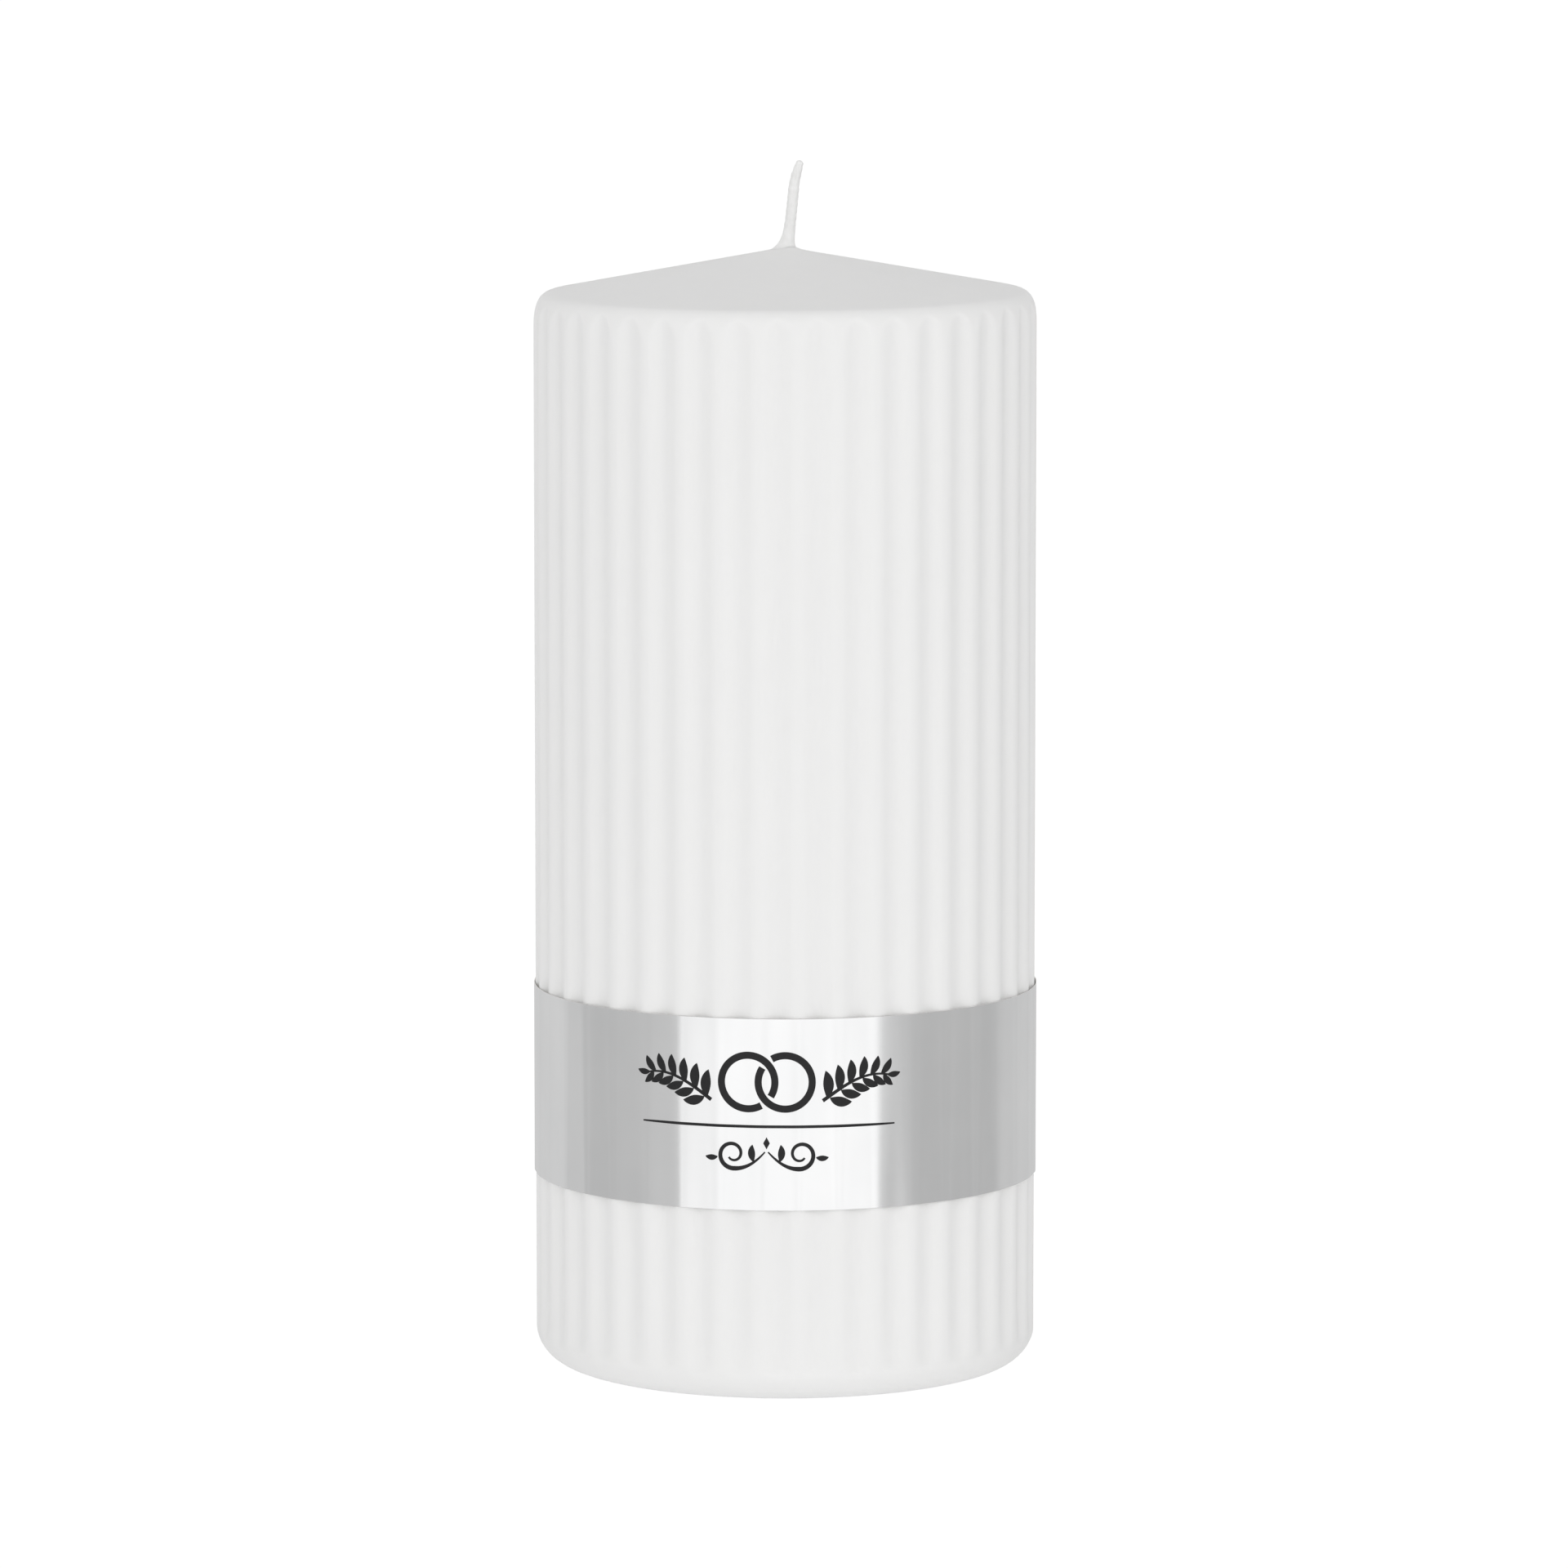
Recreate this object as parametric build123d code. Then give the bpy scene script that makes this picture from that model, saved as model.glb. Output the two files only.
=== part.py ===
from build123d import *
from math import atan, cos, radians, sin, tan
import os

# A ribbed pillar candle with a foil-paper band, one solid for each physical piece.
# Millimetres. +Z is up, the origin is the centre of the foot, and the front faces -Y.

# Pillar, over the rib crests
BODY_RADIUS = 33.6
APEX_HEIGHT = 150.0
CONE_SLOPE = 0.186
SHOULDER_ROUND = 3.8
FOOT_ROUND = 5.0

# Ribs moulded in the coat; turns are in degrees from +X, and the front is at -90
RIB_COUNT = 40
RIB_DEPTH = 0.6
FIRST_CREST_TURN = -87.1

# Pressed core inside the coat
CORE_RADIUS = 30.6
CORE_APEX_HEIGHT = 147.5
CORE_SHOULDER_ROUND = 3.0
CORE_FOOT_ROUND = 4.0

# Wick, straight up the core and leaning towards +X above the wax: (x, z) of each bend and of the tip
WICK_RADIUS = 0.75
WICK_FIRST_BEND = (0.0, 146.0)
WICK_SECOND_BEND = (1.2, 158.8)
WICK_TIP = (2.0, 161.6)
WICK_BEND_RADII = (16.0, 8.0)

# Wax drawn up round the wick where it leaves the cone
COLLAR_FOOT_RADIUS = 3.2
COLLAR_TOP_RADIUS = 1.5
COLLAR_RISE = 1.2

# Foot: a steel sustainer crimped on the wick, sealed in under a disc of wax
SEAL_RADIUS = 11.0
SEAL_DEPTH = 1.2
SUSTAINER_RADIUS = 10.0
SUSTAINER_SHEET = 0.3
SUSTAINER_NECK_HEIGHT = 6.0

# Foil-paper band, wrapped once round the ribs and glued to itself at the back
BAND_BOTTOM = 26.0
BAND_HEIGHT = 25.4
BAND_CLEARANCE = 0.15
BAND_THICKNESS = 0.15
BACK_TURN = 90.0
OVERLAP_TURN = 20.0
RAMP_TURN = 4.0
GLUE_THICKNESS = 0.05
GLUE_MARGIN = 1.5
GLUE_MARGIN_TURN = 2.5


def on_circle(radius, turn):
    """A point in the XY plane at a radius and a turn in degrees from +X."""
    return (radius * cos(radians(turn)), radius * sin(radians(turn)))


def in_section(radius, height):
    """A point in the XZ plane, where the round pieces have their half sections."""
    return (radius, 0, height)


def turned(*edges):
    """A solid turned about +Z from the edges of its half section."""
    return revolve(make_face(edges), Axis.Z)


def pillar(radius, apex, shoulder_round, foot_round):
    """A plain pillar: flat foot, rounded foot edge, wall, rounded shoulder and cone."""
    cone_angle = atan(CONE_SLOPE)
    corner = apex - CONE_SLOPE * radius
    tangent = shoulder_round / tan(radians(45) + cone_angle / 2)
    wall_top = corner - tangent
    cone_edge = in_section(radius - tangent * cos(cone_angle), corner + tangent * sin(cone_angle))
    foot_flat = radius - foot_round
    return turned(
        Line(in_section(0, 0), in_section(foot_flat, 0)),
        TangentArc(in_section(radius, foot_round), in_section(foot_flat, 0), tangent=(0, 0, -1)),
        Line(in_section(radius, foot_round), in_section(radius, wall_top)),
        TangentArc(in_section(radius, wall_top), cone_edge, tangent=(0, 0, 1)),
        Line(cone_edge, in_section(0, apex)),
        Line(in_section(0, apex), in_section(0, 0)),
    )


def ribbed_prism():
    """An upright prism whose outline is a ring of ribs, each crest and groove one arc."""
    pitch = 360 / RIB_COUNT
    groove_radius = BODY_RADIUS - RIB_DEPTH
    flank_radius = BODY_RADIUS - RIB_DEPTH / 2
    arcs = []
    for rib in range(RIB_COUNT):
        crest = FIRST_CREST_TURN + rib * pitch
        before = on_circle(flank_radius, crest - pitch / 4)
        after = on_circle(flank_radius, crest + pitch / 4)
        following = on_circle(flank_radius, crest + 3 * pitch / 4)
        arcs.append(ThreePointArc(before, on_circle(BODY_RADIUS, crest), after))
        arcs.append(ThreePointArc(after, on_circle(groove_radius, crest + pitch / 2), following))
    return extrude(make_face(arcs), APEX_HEIGHT)


def wick_collar():
    """The wax meniscus that climbs the wick from the cone."""
    cone_angle = atan(CONE_SLOPE)
    cone_point = in_section(COLLAR_FOOT_RADIUS, APEX_HEIGHT - CONE_SLOPE * COLLAR_FOOT_RADIUS)
    rim = in_section(COLLAR_TOP_RADIUS, APEX_HEIGHT + COLLAR_RISE)
    foot = in_section(0, cone_point[2])
    return turned(
        Line(foot, cone_point),
        TangentArc(cone_point, rim, tangent=(-cos(cone_angle), 0, sin(cone_angle))),
        Line(rim, in_section(0, APEX_HEIGHT + COLLAR_RISE)),
        Line(in_section(0, APEX_HEIGHT + COLLAR_RISE), foot),
    )


def braided_wick():
    """The whole wick: straight up the bore, then two gentle leans to its cut tip."""
    route = FilletPolyline(
        in_section(0, SEAL_DEPTH),
        in_section(*WICK_FIRST_BEND),
        in_section(*WICK_SECOND_BEND),
        in_section(*WICK_TIP),
        radius=WICK_BEND_RADII,
    )
    return sweep(Plane.XY.offset(SEAL_DEPTH) * Circle(WICK_RADIUS), path=route)


def sustainer():
    """A sheet-steel disc with a neck crimped onto the wick."""
    neck_radius = WICK_RADIUS + SUSTAINER_SHEET
    disc_top = SEAL_DEPTH + SUSTAINER_SHEET
    neck_top = disc_top + SUSTAINER_NECK_HEIGHT
    return turned(
        Polyline(
            in_section(WICK_RADIUS, SEAL_DEPTH),
            in_section(SUSTAINER_RADIUS, SEAL_DEPTH),
            in_section(SUSTAINER_RADIUS, disc_top),
            in_section(neck_radius, disc_top),
            in_section(neck_radius, neck_top),
            in_section(WICK_RADIUS, neck_top),
            close=True,
        )
    )


def foot_seal():
    """The disc of wax that closes the recess under the sustainer."""
    return extrude(Circle(SEAL_RADIUS), SEAL_DEPTH)


def foil_band():
    """The strip: once round the ribs, up a short ramp over its own start, then the flap."""
    inner = BODY_RADIUS + BAND_CLEARANCE
    flap_inner = inner + BAND_THICKNESS + GLUE_THICKNESS
    start = BACK_TURN - OVERLAP_TURN / 2
    ramp_foot = start + 360 - RAMP_TURN
    ramp_top = start + 360
    end = ramp_top + OVERLAP_TURN

    def one_face(under, over):
        """One face of the strip, from its start to its end."""
        wrap = ThreePointArc(
            on_circle(under, start), on_circle(under, (start + ramp_foot) / 2), on_circle(under, ramp_foot)
        )
        ramp = Line(on_circle(under, ramp_foot), on_circle(over, ramp_top))
        flap = ThreePointArc(
            on_circle(over, ramp_top), on_circle(over, (ramp_top + end) / 2), on_circle(over, end)
        )
        return [wrap, ramp, flap]

    ends = [
        Line(on_circle(inner, start), on_circle(inner + BAND_THICKNESS, start)),
        Line(on_circle(flap_inner, end), on_circle(flap_inner + BAND_THICKNESS, end)),
    ]
    outline = one_face(inner, flap_inner)
    outline += one_face(inner + BAND_THICKNESS, flap_inner + BAND_THICKNESS)
    return Pos(0, 0, BAND_BOTTOM) * extrude(make_face(outline + ends), BAND_HEIGHT)


def band_glue():
    """The film of glue between the strip's start and its flap."""
    inner = BODY_RADIUS + BAND_CLEARANCE + BAND_THICKNESS
    outer = inner + GLUE_THICKNESS
    first = BACK_TURN - OVERLAP_TURN / 2 + GLUE_MARGIN_TURN
    last = BACK_TURN + OVERLAP_TURN / 2 - GLUE_MARGIN_TURN
    section = make_face(
        [
            ThreePointArc(on_circle(inner, first), on_circle(inner, BACK_TURN), on_circle(inner, last)),
            Line(on_circle(inner, last), on_circle(outer, last)),
            ThreePointArc(on_circle(outer, last), on_circle(outer, BACK_TURN), on_circle(outer, first)),
            Line(on_circle(outer, first), on_circle(inner, first)),
        ]
    )
    return Pos(0, 0, BAND_BOTTOM + GLUE_MARGIN) * extrude(section, BAND_HEIGHT - 2 * GLUE_MARGIN)


def candle():
    """Every node of the candle, by name."""
    wick = braided_wick()
    holder = sustainer()
    seal = foot_seal()
    core = pillar(CORE_RADIUS, CORE_APEX_HEIGHT, CORE_SHOULDER_ROUND, CORE_FOOT_ROUND)
    skin = pillar(BODY_RADIUS, APEX_HEIGHT, SHOULDER_ROUND, FOOT_ROUND)
    return {
        "wax_core": core - wick - holder - seal,
        "wax_coat": (skin & ribbed_prism()) + wick_collar() - core - wick,
        "wick": wick,
        "wick_sustainer": holder,
        "foot_seal": seal,
        "label_band": foil_band(),
        "label_adhesive": band_glue(),
    }


os.makedirs("parts", exist_ok=True)
for node, shape in candle().items():
    export_step(shape, f"parts/{node}.step")
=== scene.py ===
import math

import bpy
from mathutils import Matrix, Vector, noise


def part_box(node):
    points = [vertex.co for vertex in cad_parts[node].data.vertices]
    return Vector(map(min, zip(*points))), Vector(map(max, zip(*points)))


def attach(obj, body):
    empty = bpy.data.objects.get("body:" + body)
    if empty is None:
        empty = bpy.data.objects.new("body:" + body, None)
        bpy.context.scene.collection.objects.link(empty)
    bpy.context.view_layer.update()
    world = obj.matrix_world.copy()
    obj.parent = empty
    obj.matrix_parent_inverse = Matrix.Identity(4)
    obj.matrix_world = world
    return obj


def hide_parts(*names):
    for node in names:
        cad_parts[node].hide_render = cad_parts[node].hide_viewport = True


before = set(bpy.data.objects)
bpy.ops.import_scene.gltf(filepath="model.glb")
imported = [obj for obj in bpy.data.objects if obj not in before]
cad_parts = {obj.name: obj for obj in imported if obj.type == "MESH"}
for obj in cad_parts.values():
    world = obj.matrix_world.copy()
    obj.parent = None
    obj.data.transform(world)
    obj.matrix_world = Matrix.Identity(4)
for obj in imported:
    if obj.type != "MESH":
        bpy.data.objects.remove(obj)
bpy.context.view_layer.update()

MM = 0.001

# Faces that meet at more degrees than this keep a sharp edge between them
SHARP_EDGE = 50.0

# The pillar's outside; its radius and height come from the frame
CONE_SLOPE = 0.186
SHOULDER_DROP = 4.5 * MM
SHOULDER_REACH = 2.0 * MM
FOOT_ROUND = 5.0 * MM
WALL_UNEVENNESS = 0.012 * MM
UNEVEN_AROUND, UNEVEN_UP = 2.2, 60.0

# The tilt of the top: its size at the rim, its share on the axis, and the height where it starts
# and the height that it takes to grow, both as shares of the apex's
TOP_TILT = 0.16 * MM
TILT_ON_AXIS = 0.6
TILT_FROM, TILT_OVER = 0.80, 0.15

# Ribs; turns are in degrees from +X, and the front is at -90
RIB_COUNT = 40
RIB_DEPTH = 0.6 * MM
RIB_SOFTNESS = 0.16 * MM
RIB_FADE = (2.2 * MM, 7.5 * MM)
FIRST_CREST_TURN = -87.1
COLUMNS_PER_RIB = 15

# The coat's inside, just clear of the core
SHELL_GAP = 0.03 * MM
CORE_FOOT_ROUND = 4.0 * MM
BORE_RADIUS = 1.2 * MM
SHELL_SHOULDER_IN = 3.0 * MM
SHELL_SHOULDER_DOWN = 3.6 * MM
SHELL_WALL_DOWN = 12.0 * MM

# The rise of wax round the wick
COLLAR_RISE = 1.2 * MM
COLLAR_REACH = 4.0 * MM
COLLAR_MOUTH = 0.9 * MM
COLLAR_LIFT = 0.35 * MM
COLLAR_FADE = 0.5 * MM

# The wick's route in the XZ plane: its two bends, half the height that each takes, and its tip
WICK_BENDS = ((0.0 * MM, 146.0 * MM), (1.2 * MM, 158.8 * MM))
BEND_HALVES = (1.6 * MM, 1.3 * MM)
WICK_TIP = (2.0 * MM, 161.6 * MM)
WICK_RADIUS = 0.72 * MM
BRAID_RELIEF = 0.035 * MM
BRAID_PITCH = 5.6 * MM
WICK_LUMPS = 0.02 * MM
TIP_ROUND = 0.5 * MM

# Above the apex, where the braid starts to show and the height that this takes
BRAID_SHOWS = (1.0 * MM, 2.5 * MM)

# Two steps that thin the wick: (share of its radius, start below the tip, height that it takes)
THINNINGS = ((0.12, 5.0 * MM, 4.0 * MM), (0.16, 2.0 * MM, 2.0 * MM))

# The flare of wax at the wick's foot: how far below the apex it starts, the height that it takes
# to grow, where it is widest, and (reach, height over which it dies away) on each side
FLARE_DEPTH = 1.6 * MM
FLARE_GROWTH = 0.8 * MM
FLARE_WIDEST = 0.5 * MM
LEFT_FLARE = (1.05 * MM, 1.15 * MM)
RIGHT_FLARE = (0.40 * MM, 0.55 * MM)

# The band, close round the rib crests
BAND_GAP = 0.04 * MM
BAND_SHEET = 0.12 * MM
BAND_TELEGRAPH = 0.03 * MM
LOWER_TELEGRAPH = 0.05 * MM
BAND_CRUMPLE = 0.010 * MM
CRUMPLE_AROUND, CRUMPLE_UP, CRUMPLE_FROM = 5.0, 1.6, 3.0

# Its edges flare from this share of the way between the middle of its height and each edge
EDGE_FROM = 0.8
EDGE_FLARE = 0.01 * MM

# Its overlap at the back, clear of the glue; the slack grows with the sine of the turn
BACK_TURN = 90.0
OVERLAP_TURN = 20.0
RAMP_TURN = 4.0
BACK_SLACK = 0.125 * MM
SLACK_FROM, SLACK_OVER = 0.80, 0.16
FLAP_LIFT = 0.215 * MM
FLAP_CURL = 0.16 * MM
CURL_TURN = 2.5

# The printed ornament, centred a little to the left of the front; its own sizes are in millimetres
PRINT_TURN = -94.2
PRINT_DROP = 8.35 * MM
PRINT_LIFT = 0.012 * MM
INK_THICKNESS = 0.02 * MM
FINEST_STROKE = 0.02

# Camera: a long lens, looking slightly down
CAMERA_PLACE = (-0.00018, -1.250, 0.2439)
CAMERA_PITCH = 7.56
CAMERA_LENS = 216.0

# The studio as seen from the candle: (turn in degrees from the camera, brightness), low down,
# at mid height and high up
LOW_WALL = (
    (-180, 0.62), (-140, 0.64), (-126, 0.66), (-114, 0.60), (-104, 0.53), (-84, 0.52), (-64, 0.56),
    (-52, 0.60), (-47.5, 0.95), (-34, 0.97), (-29, 1.05), (42, 1.04), (47, 0.70), (53, 0.58),
    (62, 0.51), (76, 0.50), (108, 0.505), (120, 0.57), (127, 0.60), (180, 0.62),
)
MIDDLE_WALL = (
    (-180, 0.80), (-140, 0.80), (-105, 1.48), (-75, 1.32), (-50, 1.20), (-28, 1.15), (0, 1.15),
    (28, 1.32), (50, 1.40), (75, 1.10), (105, 0.90), (140, 0.80), (180, 0.80),
)
UPPER_WALL = (
    (-180, 0.60), (-140, 0.60), (-105, 0.64), (-75, 0.42), (-50, 0.64), (-28, 0.95), (0, 1.12),
    (28, 1.26), (50, 1.12), (75, 0.54), (105, 0.32), (140, 0.58), (180, 0.60),
)
STUDIO_FLOOR = (0.83, 0.83, 0.83, 1.0)
STUDIO_CEILING = (0.56, 0.56, 0.56, 1.0)

# The table top that the camera sees
TABLE_HALF = 7.0
TABLE_CROWDING = 2.2
TABLE_GLOW = 0.785


# ---------------------------------------------------------------- helpers


def radius_of(node):
    """The largest distance from the Z axis of a CAD node's points."""
    return max(math.hypot(v.co.x, v.co.y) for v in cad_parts[node].data.vertices)


def new_object(name, points, faces, smooth=True):
    """A mesh object from its points and faces, linked to the scene."""
    mesh = bpy.data.meshes.new(name)
    mesh.from_pydata([tuple(p) for p in points], [], faces)
    mesh.validate()
    mesh.update()
    for polygon in mesh.polygons:
        polygon.use_smooth = smooth
    if smooth:
        mesh.set_sharp_from_angle(angle=math.radians(SHARP_EDGE))
    thing = bpy.data.objects.new(name, mesh)
    bpy.context.scene.collection.objects.link(thing)
    return thing


def grid_faces(rows, columns, close_rows=False, close_columns=False, flip=False):
    """The quads of a grid of points stored row by row."""
    faces = []
    for i in range(rows if close_rows else rows - 1):
        for j in range(columns if close_columns else columns - 1):
            a = i * columns + j
            b = i * columns + (j + 1) % columns
            c = ((i + 1) % rows) * columns + (j + 1) % columns
            d = ((i + 1) % rows) * columns + j
            faces.append((d, c, b, a) if flip else (a, b, c, d))
    return faces


def spaced(start, end, count):
    """Count values from start to end, both included."""
    return [start + (end - start) * i / (count - 1) for i in range(count)]


def ease(t):
    """0 to 1 with no jerk at either end."""
    t = min(max(t, 0.0), 1.0)
    return t * t * (3 - 2 * t)


def smooth_min(a, b, softness):
    """The lower of two values, rounded off where they cross."""
    h = max(softness - abs(a - b), 0.0) / softness
    return min(a, b) - h * h * softness / 4


def soft_ramp(t, half):
    """0 below -half, t above half, and a smooth bend between them."""
    if t <= -half:
        return 0.0
    if t >= half:
        return t
    u = (t + half) / (2 * half)
    return 2 * half * (u**3 - u**4 / 2)


def on_axis(radius, turn, z):
    """A point at a radius from the Z axis, a turn in degrees and a height."""
    a = math.radians(turn)
    return Vector((radius * math.cos(a), radius * math.sin(a), z))


# ---------------------------------------------------------------- materials


class Nodes:
    """A short way to add and join shader nodes."""

    def __init__(self, tree):
        self.tree = tree

    def fill(self, node, inputs):
        """Joins each input that is another node's output, and sets every other one to its value."""
        for key, value in inputs.items():
            if isinstance(value, bpy.types.NodeSocket):
                self.tree.links.new(value, node.inputs[key])
            else:
                node.inputs[key].default_value = value

    def add(self, kind, inputs=None, **settings):
        """A new node of a kind, with its inputs filled and its settings made."""
        node = self.tree.nodes.new(kind)
        for key, value in settings.items():
            setattr(node, key, value)
        self.fill(node, inputs or {})
        return node

    def math(self, operation, a, b=0.0, c=0.0):
        """One sum on up to three values."""
        return self.add("ShaderNodeMath", {0: a, 1: b, 2: c}, operation=operation).outputs[0]

    def weighed(self, a, share, b):
        """Two values added, the first with its share and the second with the rest."""
        return self.math("ADD", self.math("MULTIPLY", a, share), self.math("MULTIPLY", b, 1 - share))

    def ramp(self, value, stops):
        """A colour or grey for each value, from (value, colour) stops with even changes between them."""
        node = self.add("ShaderNodeValToRGB", {"Fac": value})
        elements = node.color_ramp.elements
        while len(elements) < len(stops):
            elements.new(0.5)
        for element, (place, colour) in zip(elements, stops):
            red, green, blue = colour if isinstance(colour, tuple) else (colour,) * 3
            element.position = place
            element.color = (red, green, blue, 1.0)
        return node.outputs["Color"]

    def spread(self, value, low, high):
        """A noise's usual span stretched to run from low to high."""
        span = {"Value": value, "From Min": 0.3, "From Max": 0.7, "To Min": low, "To Max": high}
        return self.add("ShaderNodeMapRange", span).outputs["Result"]

    def noise(self, vector, scale, detail, roughness=0.5):
        """Cloudy noise, its scale in features to one unit of the coordinates."""
        inputs = {"Vector": vector, "Scale": scale, "Detail": detail, "Roughness": roughness}
        return self.add("ShaderNodeTexNoise", inputs).outputs["Fac"]

    def stretched(self, vector, scale):
        """Coordinates scaled apart along X, Y and Z, for noise drawn out along one of them."""
        return self.add("ShaderNodeMapping", {"Vector": vector, "Scale": scale}).outputs["Vector"]

    def bump(self, height, distance, strength, over=None):
        """A bumped normal, on its own or over another one."""
        inputs = {"Height": height, "Distance": distance, "Strength": strength}
        if over is not None:
            inputs["Normal"] = over
        return self.add("ShaderNodeBump", inputs).outputs["Normal"]


def new_material(name):
    """A new material with its nodes, its bare Principled shader and object coordinates."""
    material = bpy.data.materials.new(name)
    material.use_nodes = True
    n = Nodes(material.node_tree)
    shader = material.node_tree.nodes["Principled BSDF"]
    place = n.add("ShaderNodeTexCoord").outputs["Object"]
    return material, n, shader, place


def soaked(weight, depth):
    """The shader values of light that soaks in to a depth, the same for every colour."""
    return {
        "Subsurface Weight": weight,
        "Subsurface Radius": (1.0, 1.0, 1.0),
        "Subsurface Scale": depth,
    }


def coat_wax_material():
    """White dipped wax: faint clouding, a satin skin with fine pores, and light that soaks in a little."""
    material, n, shader, place = new_material("coat_wax")
    white, mottle = (0.901, 0.899, 0.894), 0.012
    clouds = n.noise(place, 55.0, 5.0, 0.55)
    drift = n.noise(n.stretched(place, (420.0, 420.0, 60.0)), 1.0, 3.0)
    tone = n.weighed(clouds, 0.65, drift)
    sheen_spots = n.noise(place, 160.0, 3.0, 0.6)
    orange_peel = n.bump(n.noise(place, 700.0, 3.0), 0.00004, 0.6)
    pores = n.bump(n.noise(place, 4200.0, 2.0, 0.6), 0.000012, 0.5, orange_peel)
    n.fill(shader, {
        "Base Color": n.ramp(tone, [(0.3, tuple(c * (1 - mottle) for c in white)), (0.7, white)]),
        "Roughness": n.spread(sheen_spots, 0.42, 0.53),
        "Normal": pores,
        "IOR": 1.43,
        "Specular IOR Level": 0.30,
        **soaked(1.0, 0.38 * MM),
    })
    return material


def pressed_wax_material(name, colour):
    """The paraffin of the foot: matte, with the grain of pressed beads and turning marks."""
    material, n, shader, place = new_material(name)
    clouds = n.noise(place, 130.0, 4.0, 0.55)
    beads = n.add("ShaderNodeTexVoronoi", {"Vector": place, "Scale": 900.0}).outputs["Distance"]
    turning = {"Vector": place, "Scale": 260.0, "Distortion": 1.2, "Detail": 2.0}
    rings = n.add("ShaderNodeTexWave", turning, wave_type="RINGS", rings_direction="Z").outputs["Fac"]
    n.fill(shader, {
        "Base Color": n.ramp(clouds, [(0.3, tuple(c * 0.94 for c in colour)), (0.7, colour)]),
        "Roughness": 0.55,
        "Normal": n.bump(rings, 0.00003, 0.35, n.bump(beads, 0.00005, 0.5)),
        **soaked(1.0, 1.2 * MM),
    })
    return material


def wick_material():
    """Cotton soaked in clear wax: off-white, a little see-through, with fibre along each strand."""
    material, n, shader, place = new_material("waxed_cotton")
    fibre = n.noise(n.stretched(place, (5200.0, 5200.0, 900.0)), 1.0, 4.0, 0.6)
    cloud = n.noise(place, 600.0, 3.0)
    tone = n.weighed(fibre, 0.6, cloud)
    n.fill(shader, {
        "Base Color": n.ramp(tone, [(0.3, (0.83, 0.828, 0.82)), (0.72, (0.93, 0.928, 0.922))]),
        "Roughness": 0.42,
        "Normal": n.bump(fibre, 0.00003, 0.6),
        **soaked(0.7, 0.3 * MM),
    })
    return material


def foil_material():
    """Bright aluminium foil laminated to paper: rolling grain round the strip and faint fibre from below."""
    material, n, shader, place = new_material("foil_face")
    grain = n.noise(n.stretched(place, (180.0, 180.0, 5200.0)), 1.0, 3.0, 0.55)
    fibre = n.noise(place, 900.0, 4.0, 0.6)
    cloud = n.noise(place, 90.0, 3.0)
    n.fill(shader, {
        "Base Color": n.ramp(cloud, [(0.3, (0.875, 0.878, 0.882)), (0.7, (0.915, 0.916, 0.918))]),
        "Metallic": 1.0,
        "Roughness": n.spread(grain, 0.085, 0.135),
        "Normal": n.bump(fibre, 0.000010, 0.35, n.bump(grain, 0.000004, 0.35)),
    })
    return material


def paper_material():
    """The band's white paper side and its cut edges."""
    material, n, shader, place = new_material("label_paper")
    fibres = n.noise(n.stretched(place, (1600.0, 1600.0, 500.0)), 1.0, 5.0, 0.65)
    n.fill(shader, {
        "Base Color": n.ramp(fibres, [(0.3, (0.80, 0.79, 0.76)), (0.7, (0.90, 0.89, 0.87))]),
        "Roughness": 0.86,
        "Normal": n.bump(fibres, 0.00003, 0.5),
    })
    return material


def ink_material():
    """Black printing ink, slightly glossy, with the press's fine mottle."""
    material, n, shader, place = new_material("black_ink")
    mottle = n.noise(place, 2600.0, 3.0, 0.6)
    n.fill(shader, {
        "Base Color": n.ramp(mottle, [(0.25, (0.006, 0.006, 0.007)), (0.8, (0.016, 0.016, 0.017))]),
        "Roughness": n.spread(mottle, 0.42, 0.58),
        "Specular IOR Level": 0.3,
    })
    return material


def steel_material():
    """Tinned sheet steel: bright, with drawn lines and a dull bloom."""
    material, n, shader, place = new_material("tinned_steel")
    lines = n.noise(n.stretched(place, (3000.0, 160.0, 3000.0)), 1.0, 3.0)
    bloom = n.noise(place, 350.0, 4.0, 0.6)
    n.fill(shader, {
        "Base Color": n.ramp(bloom, [(0.3, (0.50, 0.50, 0.51)), (0.7, (0.66, 0.66, 0.67))]),
        "Metallic": 1.0,
        "Roughness": n.spread(lines, 0.24, 0.40),
        "Normal": n.bump(lines, 0.000008, 0.5),
    })
    return material


def glue_material():
    """A dried film of clear glue, faintly yellow."""
    material, n, shader, place = new_material("dried_glue")
    streaks = n.noise(n.stretched(place, (900.0, 900.0, 200.0)), 1.0, 3.0)
    n.fill(shader, {
        "Base Color": n.ramp(streaks, [(0.3, (0.70, 0.66, 0.52)), (0.7, (0.82, 0.79, 0.68))]),
        "Roughness": 0.22,
        "Normal": n.bump(streaks, 0.00002, 0.5),
    })
    return material


def table_material():
    """Matte white that glows enough to look evenly lit."""
    material, n, shader, place = new_material("table_white")
    grain = n.noise(place, 40.0, 3.0)
    n.fill(shader, {
        "Base Color": n.ramp(grain, [(0.3, 0.34), (0.7, 0.35)]),
        "Roughness": 1.0,
        "Specular IOR Level": 0.0,
        "Emission Color": (1.0, 1.0, 1.0, 1.0),
        "Emission Strength": TABLE_GLOW,
    })
    return material


# ---------------------------------------------------------------- the pillar

coat_low, coat_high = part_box("wax_coat")
core_low, core_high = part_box("wax_core")
band_low, band_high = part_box("label_band")
BODY_RADIUS = radius_of("wax_coat")
CORE_RADIUS = radius_of("wax_core")
APEX = coat_high.z - COLLAR_RISE


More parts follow.
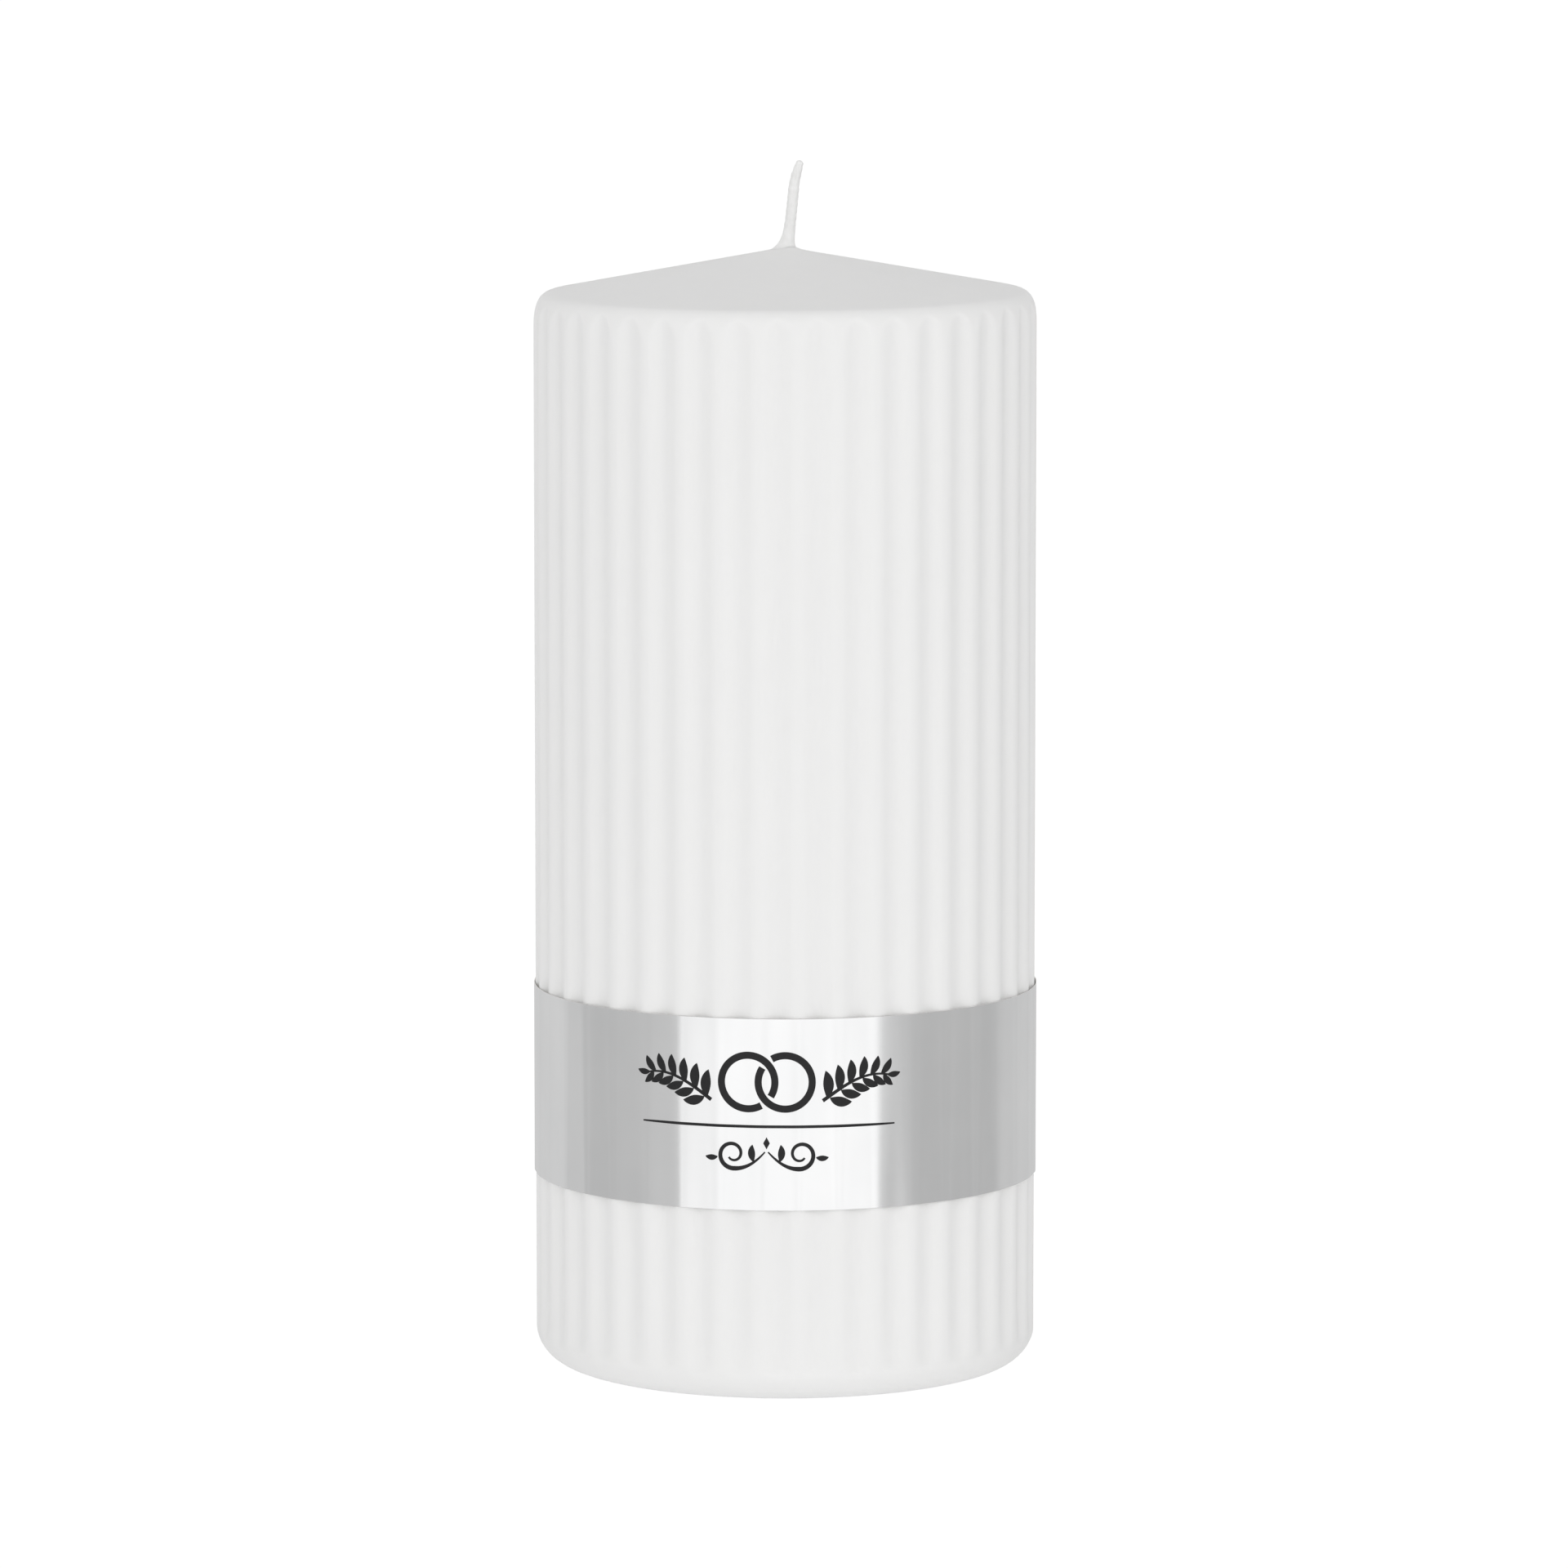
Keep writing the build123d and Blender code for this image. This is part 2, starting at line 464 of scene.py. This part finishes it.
def wick_centre(z):
    """The wick's centre line at a height: (x, lean in radians)."""
    (x0, z0), (x1, z1) = WICK_BENDS
    x2, z2 = WICK_TIP
    first, second = BEND_HALVES
    lean = (x1 - x0) / (z1 - z0)
    more_lean = (x2 - x1) / (z2 - z1) - lean
    x = x0 + lean * soft_ramp(z - z0, first) + more_lean * soft_ramp(z - z1, second)
    slope = lean * ease((z - z0 + first) / (2 * first))
    slope += more_lean * ease((z - z1 + second) / (2 * second))
    return x, math.atan(slope)


def rib_groove(turn):
    """How far the surface lies inside the crest radius at a turn in degrees."""
    phase = math.radians((turn - FIRST_CREST_TURN) * RIB_COUNT)
    return RIB_DEPTH * (0.5 - 0.5 * math.cos(phase))


def pillar_profile():
    """Half section of the outside as (radius, height), from the foot's rim up to the collar's foot."""
    foot_flat, foot_top = BODY_RADIUS - FOOT_ROUND, coat_low.z + FOOT_ROUND
    wall_top = APEX - CONE_SLOPE * BODY_RADIUS - SHOULDER_DROP
    shoulder_rise = SHOULDER_DROP + CONE_SLOPE * SHOULDER_REACH
    points = [
        (foot_flat + FOOT_ROUND * math.sin(a), foot_top - FOOT_ROUND * math.cos(a))
        for a in spaced(0.0, math.pi / 2, 15)
    ]
    points += [(BODY_RADIUS, z) for z in spaced(foot_top, wall_top, 38)[1:]]
    for t in spaced(0.0, 1.0, 29)[1:]:
        rise = 2 * t * (1 - t) * SHOULDER_DROP + t * t * shoulder_rise
        points.append((BODY_RADIUS - SHOULDER_REACH * t * t, wall_top + rise))
    points += [(r, APEX - CONE_SLOPE * r) for r in spaced(points[-1][0], COLLAR_REACH, 20)[1:]]
    return points


def shell_profile():
    """Half section of the coat's inside, from the apex down to the foot's rim."""
    top = core_high.z + SHELL_GAP
    radius = CORE_RADIUS + SHELL_GAP
    edge_z = top - CONE_SLOPE * radius
    foot_flat, foot_top = radius - CORE_FOOT_ROUND, core_low.z + CORE_FOOT_ROUND
    cone_edge = radius - SHELL_SHOULDER_IN
    points = [(r, top - CONE_SLOPE * r) for r in spaced(BORE_RADIUS, cone_edge, 6)]
    points += [(radius, edge_z - SHELL_SHOULDER_DOWN)]
    points += [(radius, z) for z in spaced(edge_z - SHELL_WALL_DOWN, foot_top, 6)]
    points += [
        (foot_flat + CORE_FOOT_ROUND * math.cos(a), foot_top - CORE_FOOT_ROUND * math.sin(a))
        for a in spaced(0.0, math.pi / 2, 7)[1:]
    ]
    return points


def collar_point(turn, share):
    """A point of the cone's top round the wick: share 0 on the cone, 1 under the wick's flare."""
    centre = Vector((wick_centre(APEX)[0], 0.0))
    inner = centre + on_axis(COLLAR_MOUTH, turn, 0.0).xy
    outer = on_axis(COLLAR_REACH, turn, 0.0).xy
    flat = outer.lerp(inner, share)
    away = max((flat - centre).length - COLLAR_MOUTH, 0.0)
    lift = COLLAR_LIFT * math.exp(-away / COLLAR_FADE)
    return Vector((flat.x, flat.y, APEX - CONE_SLOPE * flat.length + lift))


def tilted(point):
    """A point with the pillar's slight tilt of the top towards +X: none below the shoulder."""
    share = ease((point.z - TILT_FROM * APEX) / (TILT_OVER * APEX))
    point.z += share * TOP_TILT * (TILT_ON_AXIS + point.x / BODY_RADIUS)
    return point


def wall_point(radius, turn, z):
    """A point of the ribbed outside, where the plain pillar has the given radius."""
    groove = rib_groove(turn) * ease((z - RIB_FADE[0]) / (RIB_FADE[1] - RIB_FADE[0]))
    r = smooth_min(radius, BODY_RADIUS - groove, RIB_SOFTNESS)
    uneven = noise.noise(on_axis(UNEVEN_AROUND, turn, UNEVEN_UP * z))
    return on_axis(r - WALL_UNEVENNESS * (1 + uneven), turn, z)


def wax_body():
    """The ribbed outside, the collar round the wick and the coat's inside, as one closed shell."""
    columns = RIB_COUNT * COLUMNS_PER_RIB
    turns = [360.0 * j / columns for j in range(columns)]
    outside, inside = pillar_profile(), shell_profile()
    shares = [ease(t) for t in spaced(0.0, 1.0, 15)][1:]
    points = [tilted(wall_point(radius, turn, z)) for radius, z in outside for turn in turns]
    points += [tilted(collar_point(turn, share)) for share in shares for turn in turns]
    points += [on_axis(radius, turn, z) for radius, z in inside for turn in turns]
    rows = len(outside) + len(shares) + len(inside)
    faces = grid_faces(rows, columns, close_rows=True, close_columns=True)
    body = new_object("wax_body", points, faces)
    body.data.materials.append(coat_wax_material())
    return body


# ---------------------------------------------------------------- the wick


def wick_radius(z, a, foot, tip):
    """The waxed braid's radius at a height, and at an angle round it in radians."""
    wind = 2 * math.pi * z / BRAID_PITCH
    braid = math.cos(3 * a + 3 * wind) * math.cos(3 * a - 3 * wind)
    lumps = noise.noise(Vector((math.cos(a), math.sin(a), z * 700.0)))
    shown = ease((z - APEX - BRAID_SHOWS[0]) / BRAID_SHOWS[1])
    relief = shown * (BRAID_RELIEF * (braid - 0.4) + WICK_LUMPS * lumps)
    thinner = sum(share * ease((z - tip + start) / height) for share, start, height in THINNINGS)
    above = max(z - APEX, -FLARE_WIDEST)
    left, right = [reach * math.exp(-above / fade) for reach, fade in (LEFT_FLARE, RIGHT_FLARE)]
    side = 0.5 - 0.5 * math.cos(a)
    flare = ease((z - foot) / FLARE_GROWTH) * (left * side**2.2 + right * (1 - side))
    into_cap = max((z - tip + TIP_ROUND) / TIP_ROUND, 0.0)
    return (WICK_RADIUS * (1 - thinner) + relief + flare) * math.sqrt(max(1 - into_cap**2, 0.01))


def braided_wick():
    """The whole waxed wick: a round braid, a flare of wax at the cone, a thinner rounded tip."""
    start, foot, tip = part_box("wick")[0].z, APEX - FLARE_DEPTH, WICK_TIP[1]
    heights = spaced(start, foot, 60)[:-1] + spaced(foot, tip - TIP_ROUND, 150)
    heights += [tip - TIP_ROUND * (1 - math.sin(a)) for a in spaced(0.0, math.pi / 2, 9)[1:]]
    rows, sides = len(heights), 56
    points = []
    for z in heights:
        x, lean = wick_centre(z)
        for s in range(sides):
            a = 2 * math.pi * s / sides
            r = wick_radius(z, a, foot, tip)
            across = r * math.cos(a)
            points.append((x + across * math.cos(lean), r * math.sin(a), z - across * math.sin(lean)))
    faces = grid_faces(rows, sides, close_columns=True)
    faces.append(tuple(reversed(range(sides))))
    faces.append(tuple((rows - 1) * sides + s for s in range(sides)))
    wick = new_object("braided_wick", points, faces)
    wick.data.materials.append(wick_material())
    return wick


# ---------------------------------------------------------------- the band


def band_radius(turn, share, layer):
    """The radius of the band's inner face: layer 0 lies on the ribs, layer 1 on the strip's own start."""
    a = math.radians(turn)
    ribs = rib_groove(turn) / RIB_DEPTH
    near_seam = ease((math.sin(a) - SLACK_FROM) / SLACK_OVER)
    slack = BAND_GAP + (BACK_SLACK - BAND_GAP) * near_seam
    sag = (BAND_TELEGRAPH + LOWER_TELEGRAPH * (1 - share) ** 2) * ribs * (1 - near_seam)
    edge = max(abs(share - 0.5) * 2 - EDGE_FROM, 0.0) / (1 - EDGE_FROM)
    flare = EDGE_FLARE * edge * (0.6 + 0.4 * ribs) * (1 - near_seam)
    crumple = BAND_CRUMPLE * noise.noise(on_axis(CRUMPLE_AROUND, turn, CRUMPLE_UP * share + CRUMPLE_FROM))
    return BODY_RADIUS + slack + FLAP_LIFT * layer - sag + crumple + flare


def foil_band():
    """The strip with its ribs showing through, its overlap at the back, and its paper side."""
    start = BACK_TURN - OVERLAP_TURN / 2
    total = 360.0 + OVERLAP_TURN
    rows, columns = 20, int(RIB_COUNT * COLUMNS_PER_RIB * total / 360.0)
    outer, inner = [], []
    for share in spaced(0.0, 1.0, rows):
        z = band_low.z + (band_high.z - band_low.z) * share
        for travel in spaced(0.0, total, columns):
            layer = ease((travel - (360.0 - RAMP_TURN)) / RAMP_TURN)
            curl = ease((travel - (total - CURL_TURN)) / CURL_TURN) * FLAP_CURL
            r = band_radius(start + travel, share, layer) + curl
            inner.append(on_axis(r, start + travel, z))
            outer.append(on_axis(r + BAND_SHEET, start + travel, z))
    count = len(outer)
    foil_side = grid_faces(rows, columns)
    paper_side = [tuple(count + k for k in f) for f in grid_faces(rows, columns, flip=True)]
    last = (rows - 1) * columns
    for j in range(columns - 1):
        paper_side.append((j + 1, j, count + j, count + j + 1))
        paper_side.append((last + j, last + j + 1, count + last + j + 1, count + last + j))
    for i in range(rows - 1):
        a, b = i * columns, (i + 1) * columns
        paper_side.append((a, b, count + b, count + a))
        a, b = a + columns - 1, b + columns - 1
        paper_side.append((b, a, count + a, count + b))
    band = new_object("foil_band", outer + inner, foil_side + paper_side)
    band.data.materials.append(foil_material())
    band.data.materials.append(paper_material())
    for polygon in band.data.polygons:
        polygon.material_index = 0 if polygon.index < len(foil_side) else 1
    return band


# ---------------------------------------------------------------- the printed ornament


def ribbon(centres, widths):
    """A flat strip in the print's plane: (left edge, right edge) points along a line of centres."""
    left, right = [], []
    for i, (x, y) in enumerate(centres):
        xa, ya = centres[max(i - 1, 0)]
        xb, yb = centres[min(i + 1, len(centres) - 1)]
        length = math.hypot(xb - xa, yb - ya) or 1.0
        nx, ny = -(yb - ya) / length, (xb - xa) / length
        left.append((x + nx * widths[i] / 2, y + ny * widths[i] / 2))
        right.append((x - nx * widths[i] / 2, y - ny * widths[i] / 2))
    return left, right


def ring(x, radius, width, first, last):
    """An even stroke along part of a circle on the rings' line, between two turns in degrees."""
    count = 72
    turns = [math.radians(t) for t in spaced(first, last, count)]
    centres = [(x + radius * math.cos(t), radius * math.sin(t)) for t in turns]
    return ribbon(centres, [width] * count)


def leaf(root, direction, length, width):
    """A pointed leaf: a stroke that swells and closes, and bends a little on its way."""
    bend, fullness = 0.35, 0.8
    shares = spaced(0.0, 1.0, 13)
    centres = []
    for t in shares:
        a = math.radians(direction) + bend * t
        centres.append((root[0] + length * t * math.cos(a), root[1] + length * t * math.sin(a)))
    widths = [max(width * math.sin(math.pi * t) ** fullness, FINEST_STROKE) for t in shares]
    return ribbon(centres, widths)


def diamond(x, y, size):
    """A small lozenge."""
    shares = spaced(-1.0, 1.0, 7)
    widths = [max(size * 1.1 * (1 - abs(t)), FINEST_STROKE) for t in shares]
    return ribbon([(x, y + size * t) for t in shares], widths)


def mirrored(strip):
    """The same strip on the other side of the print's centre line."""
    left, right = strip
    return [(-x, y) for x, y in right], [(-x, y) for x, y in left]


def rings_mark():
    """Two interlocked rings; each passes under the other once, with a small gap."""
    offset, radius, width, gap = 2.45, 3.55, 0.95, 14.0
    crossing = math.degrees(math.acos(offset / radius))
    left_ring = ring(-offset, radius, width, -crossing + gap, 360 - crossing - gap)
    right_ring = ring(offset, radius, width, 180 - crossing + gap, 540 - crossing - gap)
    return [left_ring, right_ring]


def stem_point(t):
    """A point of the sprig's stem, and its direction in degrees."""
    reach, rise, arch = 9.0, 3.3, 1.9
    x, y = 7.4 + reach * t, -2.5 + rise * math.sin(arch * t)
    return (x, y), math.degrees(math.atan2(rise * arch * math.cos(arch * t), reach))


def sprig():
    """A curved stem with pairs of leaves that get smaller, to the right of the rings."""
    shares = spaced(0.0, 1.0, 26)
    parts = [ribbon([stem_point(t)[0] for t in shares], [0.50 - 0.26 * t for t in shares])]
    for t in spaced(0.06, 0.88, 6):
        root, slope = stem_point(t)
        size = 1.0 - 0.38 * t
        parts.append(leaf(root, slope + 38, 3.7 * size, 1.45 * size))
        parts.append(leaf((root[0] + 0.4, root[1]), slope - 66, 3.1 * size, 1.35 * size))
    parts.append(leaf(stem_point(0.98)[0], -14, 1.9, 0.8))
    return parts


def swelled_rule():
    """The thin rule under the rings, a little finer at its ends."""
    half_length, drop, finest, swell = 17.3, 5.9, 0.20, 0.18
    shares = spaced(-1.0, 1.0, 90)
    centres = [(half_length * t, -drop) for t in shares]
    return ribbon(centres, [finest + swell * (1 - t**6) for t in shares])


def flourish():
    """The right half of a small scroll under the rule: a curl, its tail and two leaves."""
    curl_x, curl_y, curl_radius, tightening = 4.5, -9.6, 1.95, 0.66
    shares = spaced(0.0, 1.0, 52)
    curl = []
    for t in shares:
        turn = math.radians(-100 + 420 * t)
        size = curl_radius * (1 - tightening * t)
        curl.append((curl_x + size * math.cos(turn), curl_y + size * math.sin(turn)))
    tail = [(4.16 * t, -11.52 + 2.5 * (1 - t) ** 2) for t in spaced(0.05, 1.0, 24)]
    return [
        ribbon(curl, [0.62 - 0.34 * t for t in shares]),
        ribbon(tail, [0.20 + 0.42 * t for t in spaced(0.0, 1.0, 24)]),
        leaf((1.7, -10.6), 66, 2.3, 0.95),
        leaf((6.5, -10.0), -20, 1.7, 0.75),
    ]


def print_point(x, y, lift):
    """A point of the print, given in millimetres from its centre, on the foil or above it."""
    reach = BODY_RADIUS + BAND_GAP + BAND_SHEET
    turn = PRINT_TURN + math.degrees(x * MM / reach)
    z = band_high.z - PRINT_DROP + y * MM
    share = (z - band_low.z) / (band_high.z - band_low.z)
    return on_axis(band_radius(turn, share, 0.0) + BAND_SHEET + PRINT_LIFT + lift, turn, z)


def printed_ornament():
    """Every stroke as a thin closed strip of ink that follows the foil."""
    right_half = sprig() + flourish()
    strips = rings_mark() + right_half + [mirrored(s) for s in right_half]
    strips += [swelled_rule(), diamond(0.0, -8.1, 0.8)]
    points, faces = [], []
    for left, right in strips:
        base, count = len(points), len(left)
        for lift in (INK_THICKNESS, 0.0):
            for pair in zip(left, right):
                points += [print_point(x, y, lift) for x, y in pair]
        under, end = 2 * count, 2 * count - 2
        quads = [(0, under, under + 1, 1), (end, end + 1, under + end + 1, under + end)]
        for a in range(0, end, 2):
            b = a + 2
            quads.append((a, a + 1, b + 1, b))
            quads.append((under + b, under + b + 1, under + a + 1, under + a))
            quads.append((b, under + b, under + a, a))
            quads.append((a + 1, under + a + 1, under + b + 1, b + 1))
        faces += [tuple(base + k for k in q) for q in quads]
    ornament = new_object("printed_ornament", points, faces, smooth=False)
    ornament.data.materials.append(ink_material())
    return ornament


# ---------------------------------------------------------------- stage, light and camera


def floor():
    """A plain white table top, seen by the camera alone, with a mesh that is finer near the candle."""
    steps = 24
    marks = [TABLE_HALF * math.copysign(abs(t) ** TABLE_CROWDING, t) for t in spaced(-1.0, 1.0, steps)]
    points = [(x, y, 0.0) for y in marks for x in marks]
    table = new_object("table_top", points, grid_faces(steps, steps))
    table.data.materials.append(table_material())
    table.visible_glossy = False
    table.visible_diffuse = False
    table.visible_shadow = False


def studio_light():
    """A white studio round the candle: a broad front panel, grey wings and a pale back, dimmer overhead."""
    world = bpy.data.worlds.new("studio")
    bpy.context.scene.world = world
    world.use_nodes = True
    world.node_tree.nodes.clear()
    n = Nodes(world.node_tree)
    direction = n.add("ShaderNodeTexCoord").outputs["Generated"]
    axes = n.add("ShaderNodeSeparateXYZ", {"Vector": direction}).outputs
    turn = n.math("ARCTAN2", axes["X"], n.math("MULTIPLY", axes["Y"], -1.0))
    place = n.math("MULTIPLY_ADD", turn, 1 / (2 * math.pi), 0.5)

    def wall(stops):
        """A wall's brightness by its turn from the camera."""
        return n.ramp(place, [(0.5 + degrees / 360.0, tone) for degrees, tone in stops])

    def above(lower, upper, z_from, z_to):
        """The lower tone, changing to the upper one between two heights of the direction."""
        heights = {"Value": axes["Z"], "From Min": z_from, "From Max": z_to}
        share = n.add("ShaderNodeMapRange", heights).outputs["Result"]
        return n.add("ShaderNodeMix", {0: share, 6: lower, 7: upper}, data_type="RGBA").outputs[2]

    banding = n.add("ShaderNodeTexNoise", {"W": place, "Scale": 70.0, "Detail": 2.0}, noise_dimensions="1D")
    streaks = n.math("MULTIPLY_ADD", banding.outputs["Fac"], 0.16, 0.92)
    streaked = {0: wall(LOW_WALL), "Scale": streaks}
    low = n.add("ShaderNodeVectorMath", streaked, operation="SCALE").outputs["Vector"]
    sky = above(STUDIO_FLOOR, low, -0.85, -0.50)
    sky = above(sky, wall(MIDDLE_WALL), 0.0, 0.12)
    sky = above(sky, wall(UPPER_WALL), 0.30, 0.50)
    sky = above(sky, STUDIO_CEILING, 0.75, 0.95)
    lit = n.add("ShaderNodeBackground", {"Color": sky, "Strength": 1.0})
    seen = n.add("ShaderNodeBackground", {"Color": (1.0, 1.0, 1.0, 1.0), "Strength": 1.0})
    ray = n.add("ShaderNodeLightPath").outputs["Is Camera Ray"]
    mixed = n.add("ShaderNodeMixShader", {0: ray, 1: lit.outputs[0], 2: seen.outputs[0]})
    n.add("ShaderNodeOutputWorld", {"Surface": mixed.outputs[0]})


def camera():
    """A long lens in front of the candle, a little above it."""
    data = bpy.data.cameras.new("camera")
    data.sensor_width = 36.0
    data.lens = CAMERA_LENS
    data.clip_start, data.clip_end = 0.05, 40.0
    view = bpy.data.objects.new("camera", data)
    bpy.context.scene.collection.objects.link(view)
    view.location = CAMERA_PLACE
    view.rotation_euler = (math.radians(90.0 - CAMERA_PITCH), 0.0, 0.0)
    bpy.context.scene.camera = view


# ---------------------------------------------------------------- assembly


def dress(node, material):
    """Gives a CAD node one procedural material."""
    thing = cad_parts[node]
    thing.data.materials.clear()
    thing.data.materials.append(material)


body = wax_body()
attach(body, "candle")
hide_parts("wax_coat")

wick = braided_wick()
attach(wick, "candle")
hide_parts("wick")

band = foil_band()
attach(band, "band")
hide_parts("label_band")

ornament = printed_ornament()
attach(ornament, "band")

dress("wax_core", pressed_wax_material("core_wax", (0.87, 0.86, 0.835)))
dress("foot_seal", pressed_wax_material("seal_wax", (0.885, 0.875, 0.85)))
dress("wick_sustainer", steel_material())
dress("label_adhesive", glue_material())

floor()
studio_light()
camera()
bpy.context.scene.view_settings.view_transform = "Standard"
